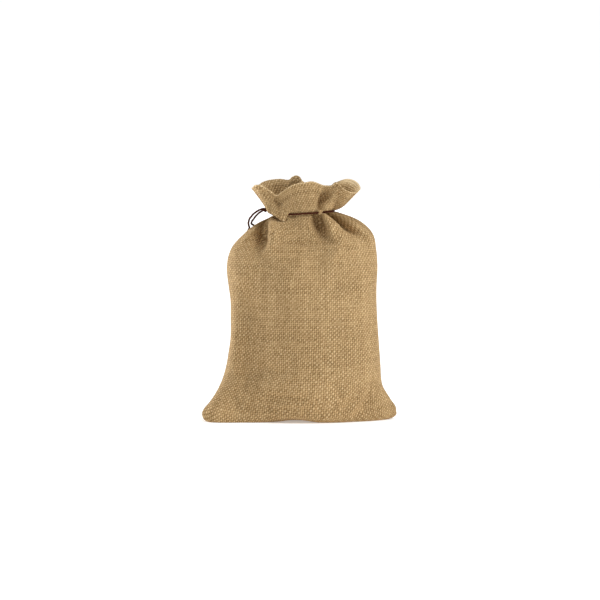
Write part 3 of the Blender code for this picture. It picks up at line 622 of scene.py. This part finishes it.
rim_rows = np.array(RIM)
knots = np.concatenate([rim_rows[-3:, 0] - 1, rim_rows[:, 0], rim_rows[:3, 0] + 1])
rim = hermite(knots, np.concatenate([rim_rows[-3:, 1:], rim_rows[:, 1:], rim_rows[:3, 1:]]), u)
nx, ny = section(*NECK, 2.0, u)
nz = NECK_Z + NECK_SLOPE * (nx - MIDDLE)
hang = bells(DROOPS, u)
swell = bells(PUFFS, u)
droop = np.array(DROOP)
ruffle = []
ruffle_steps = np.concatenate([
    [-0.045, 0.0, 0.01, 0.02, 0.032, 0.045, 0.06, 0.08, 0.10, 0.12, 0.14, 0.16, 0.19, 0.22],
    np.linspace(0.25, 1.0, 25)])
for step in ruffle_steps:
    way = max(step, 0.0)
    flare = way ** rim[:, 3]
    x = nx + (rim[:, 0] - nx) * flare
    y = ny + (rim[:, 1] - ny) * flare
    out, down = hermite(droop[:, 0], droop[:, 1:], np.array([way]))[0]
    z = nz + (rim[:, 2] - nz) * step - down * hang
    folds = fold_depth(RUFFLE_FOLDS, way, u) * min(max(way / 0.12, 0.35), 1)
    small = gathers(RUFFLE_TALL * way, u)
    x, y = push_in(x, y, MIDDLE, folds + small - out * swell)
    hidden.append(tucked(folds, small))
    ruffle.append(np.stack([x, y, z], axis=1))


def inset(ring, amount, drop=0.0):
    """A ring moved level towards the middle of the neck by an amount, and down by drop."""
    flat = ring[:, :2] - (MIDDLE, 0)
    reach = np.linalg.norm(flat, axis=1)
    keep = np.clip(1 - amount / reach, 0.05, 1)
    return np.column_stack([flat * keep[:, None] + (MIDDLE, 0), ring[:, 2] - drop])


top = ruffle[-1]
inner = [inset(top, 0.12 * HEM, -0.25 * HEM), inset(top, 0.5 * HEM, -0.42 * HEM),
         inset(top, 0.88 * HEM, -0.25 * HEM), inset(top, HEM)]
lining = ruffle[-2:8:-1]
inner += [inset(ring, HEM) for ring in lining]
throat = inner[-1]
pleat = np.cos(2 * math.pi * (14 * u + 0.3 * np.sin(6 * math.pi * u)))
for share in THROAT:
    shrunk = throat.copy()
    shrunk[:, :2] = (throat[:, :2] - (MIDDLE, 0)) * share + (MIDDLE, 0)
    shrunk[:, 2] += -6.0 * (1 - share) ** 0.7 + 5.6 * pleat * share * (1 - share)
    inner.append(shrunk)
# the four rings of the hem and the lining hide what the outside does
hidden += [hidden[-1]] * 4 + hidden[-2:-2 - len(lining):-1]
hidden += [hidden[-1]] * len(THROAT)

rings = np.array(below + outer + ruffle + inner) * MM
rows = len(rings)


def settle(rings, pitch, held_below, held_above, slack, most, blurs=30):
    """Displacement that lets the filled cloth settle: a coarse copy of the rings, every second
    ring and every pitch-th column, capped at both ends, is run in the cloth simulation with
    a little slack and pressure, gravity off, held at the base and the neck. Only the
    creases are kept, not the swelling: the result less itself smoothed blurs times, no
    longer than most."""
    coarse = rings[::2, ::pitch]
    count, around = coarse.shape[:2]
    points = np.concatenate([coarse.reshape(-1, 3), coarse[0].mean(axis=0)[None],
                             coarse[-1].mean(axis=0)[None]])
    copy = bpy.data.meshes.new("cloth_copy")
    copy.from_pydata(points.tolist(), [],
                     tube_quads(count, around).tolist() + end_caps(count, around))
    body = bpy.data.objects.new("cloth_copy", copy)
    bpy.context.collection.objects.link(body)
    hold = np.clip(np.maximum((held_below - points[:, 2]) / (0.6 * held_below) + 0.4,
                              (points[:, 2] - held_above) / (14 * MM) + 1.0), 0, 1)
    group = body.vertex_groups.new(name="held")
    for level in np.unique(np.round(hold, 1)):
        group.add(np.flatnonzero(np.round(hold, 1) == level).tolist(), float(level), "REPLACE")
    cloth = body.modifiers.new("cloth", "CLOTH")
    settings = cloth.settings
    settings.quality = 6
    settings.tension_stiffness = 20
    settings.compression_stiffness = 20
    settings.shear_stiffness = 8
    settings.bending_stiffness = 0.4
    settings.use_pressure = True
    settings.uniform_pressure_force = 4
    settings.shrink_min = -slack
    settings.effector_weights.gravity = 0
    settings.vertex_group_mass = "held"
    cloth.collision_settings.use_collision = False
    cloth.collision_settings.use_self_collision = False
    for step in range(1, 21):
        bpy.context.scene.frame_set(step)
    shown = body.evaluated_get(bpy.context.evaluated_depsgraph_get())
    moved = np.empty(len(points) * 3, np.float32)
    shown.data.vertices.foreach_get("co", moved)
    bpy.context.scene.frame_set(1)
    moved = (moved.reshape(-1, 3) - points)[:-2].reshape(count, around, 3)
    bpy.data.objects.remove(body)
    bpy.data.meshes.remove(copy)
    blur = moved
    for _ in range(blurs):
        blur = 0.25 * (np.roll(blur, 1, axis=1) + np.roll(blur, -1, axis=1)) + 0.5 * blur
        blur[1:-1] = 0.25 * (blur[2:] + blur[:-2]) + 0.5 * blur[1:-1]
    moved = moved - blur
    size = np.linalg.norm(moved, axis=2, keepdims=True)
    moved = moved * np.minimum(1, most / np.maximum(size, 1e-9))
    moved = hermite(np.arange(count) * 2.0, moved.reshape(count, -1), np.arange(len(rings)) * 1.0)
    moved = moved.reshape(len(rings), around, 3).transpose(1, 0, 2).reshape(around, -1)
    moved = np.concatenate([moved[-2:], moved, moved[:3]])
    moved = hermite((np.arange(around + 5) - 2.0) * pitch, moved, np.arange(rings.shape[1]) * 1.0)
    return moved.reshape(rings.shape[1], len(rings), 3).transpose(1, 0, 2)


# only the body settles, and its stiff side seams hardly move
filled = rings[len(below) - 1:len(below + outer)]
creased = settle(filled, pitch=4, held_below=14 * MM, held_above=204 * MM, slack=0.04,
                 most=1.6 * MM)
filled += creased * np.clip(1.5 * np.abs(np.sin(2 * math.pi * u)) - 0.15, 0, 1)[None, :, None]
points = np.concatenate([rings.reshape(-1, 3), rings[-1].mean(axis=0)[None]])

# cloth coordinates in mm: u round the girth, 200 to each half, v up from the bottom seam.
# First guess: both by the length along and between the rings.
at = rings / MM
across = np.linalg.norm(np.roll(at, -1, axis=1) - at, axis=2)
half = COLUMNS // 2
cloth_u = np.zeros((rows, COLUMNS))
for first in (0, half):
    part = np.cumsum(across[:, first:first + half], axis=1)
    even = (np.arange(half) + 1) / half
    weight = np.clip((np.arange(rows) - 6) / 8, 0, 1)[:, None]
    share = part / part[:, -1:] * weight + even * (1 - weight)
    cloth_u[:, first:first + half] = np.column_stack([np.zeros(rows), share[:, :-1]]) + first / half
cloth_u *= GIRTH / 2
cloth_v = np.concatenate([np.zeros((1, COLUMNS)), np.cumsum(
    np.linalg.norm(np.diff(at, axis=0), axis=2).mean(axis=1))[:, None] + np.zeros((1, COLUMNS))])
for row in range(1, len(below) + 12):
    even = cloth_v[row - 1] + np.linalg.norm(at[row] - at[row - 1], axis=1)
    for _ in range(12):
        even = 0.25 * np.roll(even, 1) + 0.5 * even + 0.25 * np.roll(even, -1)
    cloth_v[row] = even


def lay_flat(field, east, north, east_weight, north_weight, rounds=700):
    """The field on the rings whose steps to the next column and to the next ring come
    nearest to those asked for, by weighted least squares: conjugate gradients on the normal
    equations, scaled by their diagonal, with the first ring held."""
    def pull(a, b):
        out = np.roll(east_weight * a, 1, axis=1) - east_weight * a
        out[1:] += north_weight * b
        out[:-1] -= north_weight * b
        out[0] = 0
        return out

    rest = pull(east - (np.roll(field, -1, axis=1) - field), north - (field[1:] - field[:-1]))
    diagonal = east_weight + np.roll(east_weight, 1, axis=1)
    diagonal[1:] += north_weight
    diagonal[:-1] += north_weight
    field = field.copy()
    scaled = rest / diagonal
    way = scaled.copy()
    energy = (rest * scaled).sum()
    for _ in range(rounds):
        image = pull(np.roll(way, -1, axis=1) - way, way[1:] - way[:-1])
        size = energy / (way * image).sum()
        field += size * way
        rest -= size * image
        scaled = rest / diagonal
        before, energy = energy, (rest * scaled).sum()
        way = scaled + energy / before * way
    return field


# Above the base the weave lies as square and as even as the shape lets it: weft along the
# rings, warp square to them. Valleys that hide cloth count for little, and so take the
# cloth that the gathers hold.
low = len(below) + 9
part = at[low:]
east = np.roll(part, -1, axis=1) - part
north = part[1:] - part[:-1]
level = np.roll(part, -1, axis=1) - np.roll(part, 1, axis=1)
level = level[1:] / np.linalg.norm(level[1:], axis=2)[..., None] + level[:-1] / np.linalg.norm(
    level[:-1], axis=2)[..., None]
level /= np.linalg.norm(level, axis=2)[..., None]
wide = np.maximum(np.linalg.norm(east, axis=2), 0.02)
tall = np.maximum(np.linalg.norm(north, axis=2), 0.02)
slant = (north * level).sum(axis=2)
rise = np.sqrt(np.maximum(tall ** 2 - slant ** 2, 1e-6))
free = 1 / (1 + (np.array(hidden)[low:] / 0.9) ** 2)
east_weight = free * np.concatenate([tall, tall[-1:]]) / wide
north_weight = 0.5 * (free[1:] + free[:-1]) * 0.5 * (wide[1:] + wide[:-1]) / tall
wrap = np.zeros(COLUMNS)
wrap[-1] = GIRTH
cloth_u[low:] = lay_flat(cloth_u[low:], wide - wrap, slant, east_weight, north_weight)
cloth_v[low:] = lay_flat(cloth_v[low:], 0 * wide, rise, np.maximum(east_weight, 0.2), np.maximum(
    north_weight, 0.2))
cloth_u = np.column_stack([cloth_u, cloth_u[:, 0] + GIRTH])
cloth_v = np.column_stack([cloth_v, cloth_v[:, 0]])

# how far down from the rim, more than 0 outside and less inside
up_by = np.concatenate([np.zeros((1, COLUMNS)), np.cumsum(np.linalg.norm(
    np.diff(at, axis=0), axis=2), axis=0)])
down_by = up_by[len(below + outer + ruffle) - 1] - up_by
down_by = np.column_stack([down_by, down_by[:, 0]])
# painted light: inside, the cloth is paler near the rim, most of all in the open lobe at the right,
# where light falls on it
painted_inner_light = np.clip(1 + down_by / 14.0, 0, 1) * (down_by < 0) * (
    0.35 + np.exp(-((np.append(u, 1.0) - 0.63) / 0.075) ** 2))


def at_corners(field, at_end):
    """A field on the rings, its first column repeated at the end, at the four corners of
    each quad and then, all the same, at those of the triangles that close the throat."""
    quads = np.stack([field[:-1, :-1], field[:-1, 1:], field[1:, 1:], field[1:, :-1]], axis=-1)
    return np.concatenate([quads.reshape(-1), np.full(3 * COLUMNS, at_end)])


last = (rows - 1) * COLUMNS
throat_tris = [(rows * COLUMNS, last + k, last + (k + 1) % COLUMNS) for k in range(COLUMNS)]
uv = np.stack([at_corners(cloth_u, 0.0), at_corners(cloth_v, 0.0)], axis=1) * MM
sack = make_mesh("sack_cloth", points, tube_quads(rows, COLUMNS), uv, throat_tris)
# second map: how far from the rim, and the painted light inside near it
rim_map = sack.data.uv_layers.new(name="rim")
uv = np.stack([at_corners(down_by, down_by[-1].mean()) * MM, at_corners(painted_inner_light, 0.0)], axis=1)
rim_map.data.foreach_set("uv", uv.astype(np.float32).ravel())
# close the doubled points of the bottom seam, and turn every face outwards
seal = bmesh.new()
seal.from_mesh(sack.data)
bmesh.ops.remove_doubles(seal, verts=seal.verts, dist=1e-5)
bmesh.ops.recalc_face_normals(seal, faces=seal.faces)
seal.to_mesh(sack.data)
seal.free()

# Jute hessian, plain weave, 11 threads to the inch each way: round hairy yarns of uneven
# thickness that pass over and under each other. Their colour follows their height: pale straw on
# their crowns, painted highlight, and dark between them, painted shade.
WARP = 2.18 * MM
WEFT = 2.08 * MM
SEWN = 9 * MM            # from the rim to the hem's stitches
MATH = "ShaderNodeMath"
NOISE = "ShaderNodeTexNoise"
RANGE = "ShaderNodeMapRange"
JOIN = "ShaderNodeCombineXYZ"
FLAT = {"noise_dimensions": "2D"}
NUMBER = {"data_type": "FLOAT"}
hessian, tree, shader = new_material("jute_hessian")
coords = add_node(tree, "ShaderNodeUVMap", {"uv_map": "cloth"})
split = add_node(tree, "ShaderNodeSeparateXYZ", None, coords)
wander = add_node(tree, NOISE, FLAT, coords, Scale=95.0, Detail=2.0, Roughness=0.5)
stray = add_node(tree, "ShaderNodeSeparateColor", None, wander.outputs["Color"])
# warp and weft yarns counted across, straying by up to 0.4 of a yarn
a = add_node(tree, MATH, "MULTIPLY_ADD", stray.outputs[0], 0.8,
             add_node(tree, MATH, "MULTIPLY_ADD", split.outputs[0], 1 / WARP, -0.4))
b = add_node(tree, MATH, "MULTIPLY_ADD", stray.outputs[1], 0.8,
             add_node(tree, MATH, "MULTIPLY_ADD", split.outputs[1], 1 / WEFT, -0.4))


def yarns(line, run, seed, sign):
    """One set of yarns. line counts across them and run along them. Returns the height of
    their round backs, weaving up and down as sign * cos(pi run) by turns, and each yarn's
    own random value."""
    number = add_node(tree, MATH, "FLOOR", line)
    own = add_node(tree, "ShaderNodeTexWhiteNoise", {"noise_dimensions": "1D"},
                   W=add_node(tree, MATH, "ADD", number, seed))
    spot = add_node(tree, JOIN, None, add_node(tree, MATH, "MULTIPLY", number, 7.31),
                    add_node(tree, MATH, "MULTIPLY", run, 0.22), seed)
    slub = add_node(tree, NOISE, None, spot, Scale=1.0, Detail=2.0)
    width = add_node(tree, MATH, "MULTIPLY_ADD", slub, 0.20,
                     add_node(tree, MATH, "MULTIPLY_ADD", own, 0.05, 0.31))
    off = add_node(tree, MATH, "DIVIDE", add_node(
        tree, MATH, "SUBTRACT", add_node(tree, MATH, "FRACT", line), 0.5), width)
    fall = add_node(tree, MATH, "SUBTRACT", 1.0, add_node(tree, MATH, "MULTIPLY", off, off))
    back = add_node(tree, MATH, "SQRT", add_node(tree, MATH, "MAXIMUM", fall, 0.0))
    turn = add_node(tree, MATH, "MULTIPLY_ADD", add_node(
        tree, MATH, "PINGPONG", number, 1.0), -2.0 * sign, sign)
    wave = add_node(tree, MATH, "COSINE", add_node(
        tree, MATH, "MULTIPLY_ADD", run, math.pi, -math.pi / 2))
    tall = add_node(tree, MATH, "MULTIPLY_ADD", add_node(tree, MATH, "MULTIPLY", wave, turn), 0.34,
                    add_node(tree, MATH, "MULTIPLY_ADD", back, 0.62, 0.6))
    shown = add_node(tree, MATH, "GREATER_THAN", back, 0.01)
    return add_node(tree, MATH, "MULTIPLY_ADD", shown, tall, -0.6), own


warp, warp_own = yarns(a, b, 3.7, 1.0)
weft, weft_own = yarns(b, a, 61.3, -1.0)
height = add_node(tree, MATH, "MAXIMUM", warp, weft)
warp_up = add_node(tree, MATH, "GREATER_THAN", warp, weft)
# loose fibres lie along the yarn that is on top
spot = add_node(tree, JOIN, None, a, b)
along_warp = add_node(tree, "ShaderNodeMapping", None, spot, Scale=(9.0, 1.1, 1.0))
along_weft = add_node(tree, "ShaderNodeMapping", None, spot, Scale=(1.1, 9.0, 1.0),
                      Location=(40.0, 11.0, 0.0))
fibre = add_node(tree, "ShaderNodeMix", NUMBER, Factor=warp_up,
                 i2=add_node(tree, NOISE, None, along_weft, Scale=1.0, Detail=3.0, Roughness=0.6),
                 i3=add_node(tree, NOISE, None, along_warp, Scale=1.0, Detail=3.0, Roughness=0.6))
own = add_node(tree, "ShaderNodeMix", NUMBER, Factor=warp_up, i2=weft_own, i3=warp_own)
# painted highlight: the twist of the yarns lines their bright crowns up along one diagonal, where
# light catches them
twist_highlight = add_node(tree, MATH, "COSINE", add_node(
    tree, MATH, "MULTIPLY", add_node(tree, MATH, "SUBTRACT", a, b), math.pi))
crossing = add_node(tree, "ShaderNodeTexWhiteNoise", FLAT, add_node(
    tree, JOIN, None, add_node(tree, MATH, "FLOOR", a), add_node(tree, MATH, "FLOOR", b)))
patch = add_node(tree, NOISE, FLAT, coords, Scale=22.0, Detail=3.0, Roughness=0.55)
# painted highlight: the crest of the rim is paler, where light catches it; painted light: the
# inside near the rim is paler too, most of all in the open lobe at the right; painted shade: the
# rest of the inside is darker.
# The hem is turned in and sewn, and a seam runs up each side
rim_place = add_node(tree, "ShaderNodeSeparateXYZ", None, add_node(
    tree, "ShaderNodeUVMap", {"uv_map": "rim"}))
from_rim = add_node(tree, MATH, "ABSOLUTE", rim_place)
# painted highlight along the crest of the rim
painted_rim_highlight = add_node(tree, RANGE, None, from_rim, 0.0, 1.4 * MM, 1.0, 0.0)
# painted shade deeper inside the ruffle, from 6 to 16 mm below the rim
painted_inner_shade = add_node(tree, RANGE, None, rim_place, -6 * MM, -16 * MM, 0.0, 1.0)
stitch = add_node(tree, RANGE, None, add_node(tree, MATH, "ABSOLUTE", add_node(
    tree, MATH, "SUBTRACT", from_rim, SEWN)), 0.0, 0.6 * MM, 1.0, 0.0)
hem = add_node(tree, RANGE, None, from_rim, 9.6 * MM, 8.8 * MM, 0.0, 1.0)
seam = add_node(tree, RANGE, None, add_node(
    tree, MATH, "PINGPONG", split, GIRTH / 4 * MM), 0.0, 0.9 * MM, 1.0, 0.0)
# colour: the yarns' height as painted highlight on their crowns and painted shade between them,
# painted highlight on the twist and the rim's crest, painted light and shade inside, and the yarns'
# own tone, fibres, stitches and seams
shade = -0.10
for part, share in ((height, 0.42), (fibre, 0.28), (own, 0.07), (warp_up, 0.11), (twist_highlight, 0.042),
                    (crossing, 0.12), (patch, 0.06), (painted_rim_highlight, 0.22), (painted_inner_shade, -0.09),
                    (rim_place.outputs[1], 0.36), (stitch, -0.05), (seam, -0.08)):
    shade = add_node(tree, MATH, "MULTIPLY_ADD", part, share, shade)
tone = add_node(tree, "ShaderNodeValToRGB", None, shade)
ramp = tone.color_ramp
ramp.elements[0].position = 0.12
ramp.elements[0].color = linear("#3A2813")
ramp.elements[1].position = 0.86
ramp.elements[1].color = linear("#E9D0A6")
for place, colour in ((0.30, "#7D613A"), (0.50, "#B29265"), (0.68, "#CDAF80")):
    stop = ramp.elements.new(place)
    stop.color = linear(colour)
tree.links.new(tone.outputs[0], shader.inputs["Base Color"])
shader.inputs["Roughness"].default_value = 0.88
shader.inputs["Specular IOR Level"].default_value = 0.25
relief = height
for part, share in ((fibre, 0.16), (stitch, -0.7), (hem, 0.6), (seam, -0.9)):
    relief = add_node(tree, MATH, "MULTIPLY_ADD", part, share, relief)
bump = add_node(tree, "ShaderNodeBump", Height=relief, Strength=0.9, Distance=0.62 * MM)
tree.links.new(bump.outputs[0], shader.inputs["Normal"])

sack.data.materials.append(hessian)
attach(sack, "root")
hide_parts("sack")


# ---------------------------------------------------------------------------
# Drawcord. The same waxed cord, pulled tight round the neck in the gathers and
# drawn up to the knot at the left.
# ---------------------------------------------------------------------------
CORD_OFF = 0.8           # mm from the neck's outline to the middle of the cord
TO_KNOT = (2.7, 3.0)     # mm that it is drawn out to the left and up
left, right, front, back = NECK
turn = np.arange(144) / 144
x, y = section(left - CORD_OFF, right + CORD_OFF, front - CORD_OFF, back + CORD_OFF, 2.0, turn)
z = NECK_Z + NECK_SLOPE * (x - MIDDLE) - 0.3
pull = bell(turn, 0.0, 0.045, 0.045)
ring = np.stack([x - TO_KNOT[0] * pull, y, z + TO_KNOT[1] * pull], axis=1) * MM
drawcord, _ = laid_cord("drawcord_cord", ring, CORD_D, closed=True)
drawcord.data.materials.append(waxed_cord)
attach(drawcord, "root")
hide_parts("drawcord")


# ---------------------------------------------------------------------------
# Knot. One overhand knot of the same cord, pulled small and hard against the
# left of the neck, where the two tails leave it.
# ---------------------------------------------------------------------------
KNOT_AT = np.array((-34.4, -5.0, 216.7)) * MM
KNOT_SCALE = 1.14
KNOT_THIN = 0.86         # pulled hard, the cord is thinner
t = np.arange(120) / 120 * 2 * math.pi
loop = np.stack([0.55 * (np.sin(t) + 2 * np.sin(2 * t)), -0.75 * np.sin(3 * t),
                 0.55 * (np.cos(t) - 2 * np.cos(2 * t))], axis=1) * KNOT_SCALE * MM
knot, _ = laid_cord("knot_cord", loop + KNOT_AT, KNOT_THIN * CORD_D, closed=True)
knot.data.materials.append(waxed_cord)
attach(knot, "root")
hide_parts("knot")


# ---------------------------------------------------------------------------
# Floor and light: a white paper sweep that glows faintly, so that no shadow shows
# on it, an even pale surround, and six broad distant lamps. The key is high at the
# right, the rim light low behind the left, and the others fill in.
# ---------------------------------------------------------------------------
REACH = 8                # metres of floor each way
WHITE = linear("#FFFFFF")
floor_mesh = bpy.data.meshes.new("floor")
floor_mesh.from_pydata([(-REACH, -REACH, 0), (REACH, -REACH, 0), (REACH, REACH, 0),
                        (-REACH, REACH, 0)], [], [(0, 1, 2, 3)])
floor = bpy.data.objects.new("floor", floor_mesh)
bpy.context.collection.objects.link(floor)
paper, tree, shader = new_material("white_paper")
shader.inputs["Base Color"].default_value = WHITE
shader.inputs["Roughness"].default_value = 0.95
shader.inputs["Emission Color"].default_value = WHITE
shader.inputs["Emission Strength"].default_value = 0.3
floor_mesh.materials.append(paper)

world = bpy.data.worlds.new("studio")
world.use_nodes = True
air = world.node_tree
seen = add_node(air, "ShaderNodeLightPath").outputs["Is Camera Ray"]
# strength as light, and as what is seen behind the sack
glow = add_node(air, "ShaderNodeMix", NUMBER, Factor=seen, i2=0.10, i3=1.02)
air.links.new(glow.outputs[0], air.nodes["Background"].inputs["Strength"])
air.nodes["Background"].inputs["Color"].default_value = WHITE
bpy.context.scene.world = world
LAMP_WIDTH = math.radians(30)


def soft_light(name, towards, strength):
    """A distant lamp in a direction from the sack, as wide as LAMP_WIDTH."""
    data = bpy.data.lights.new(name, "SUN")
    data.angle = LAMP_WIDTH
    data.energy = strength
    light = bpy.data.objects.new(name, data)
    light.rotation_euler = (-Vector(towards)).to_track_quat("-Z", "Y").to_euler()
    bpy.context.collection.objects.link(light)


soft_light("key", (0.66, -0.38, 0.64), 1.77)
soft_light("right", (0.98, 0.0, 0.17), 0.65)
soft_light("left_front", (-0.66, -0.38, 0.64), 0.54)
soft_light("left_back", (-0.66, 0.38, 0.64), 0.40)
soft_light("left_rim", (-0.85, 0.49, 0.17), 2.68)
soft_light("top", (0.0, -0.02, 1.0), 0.84)
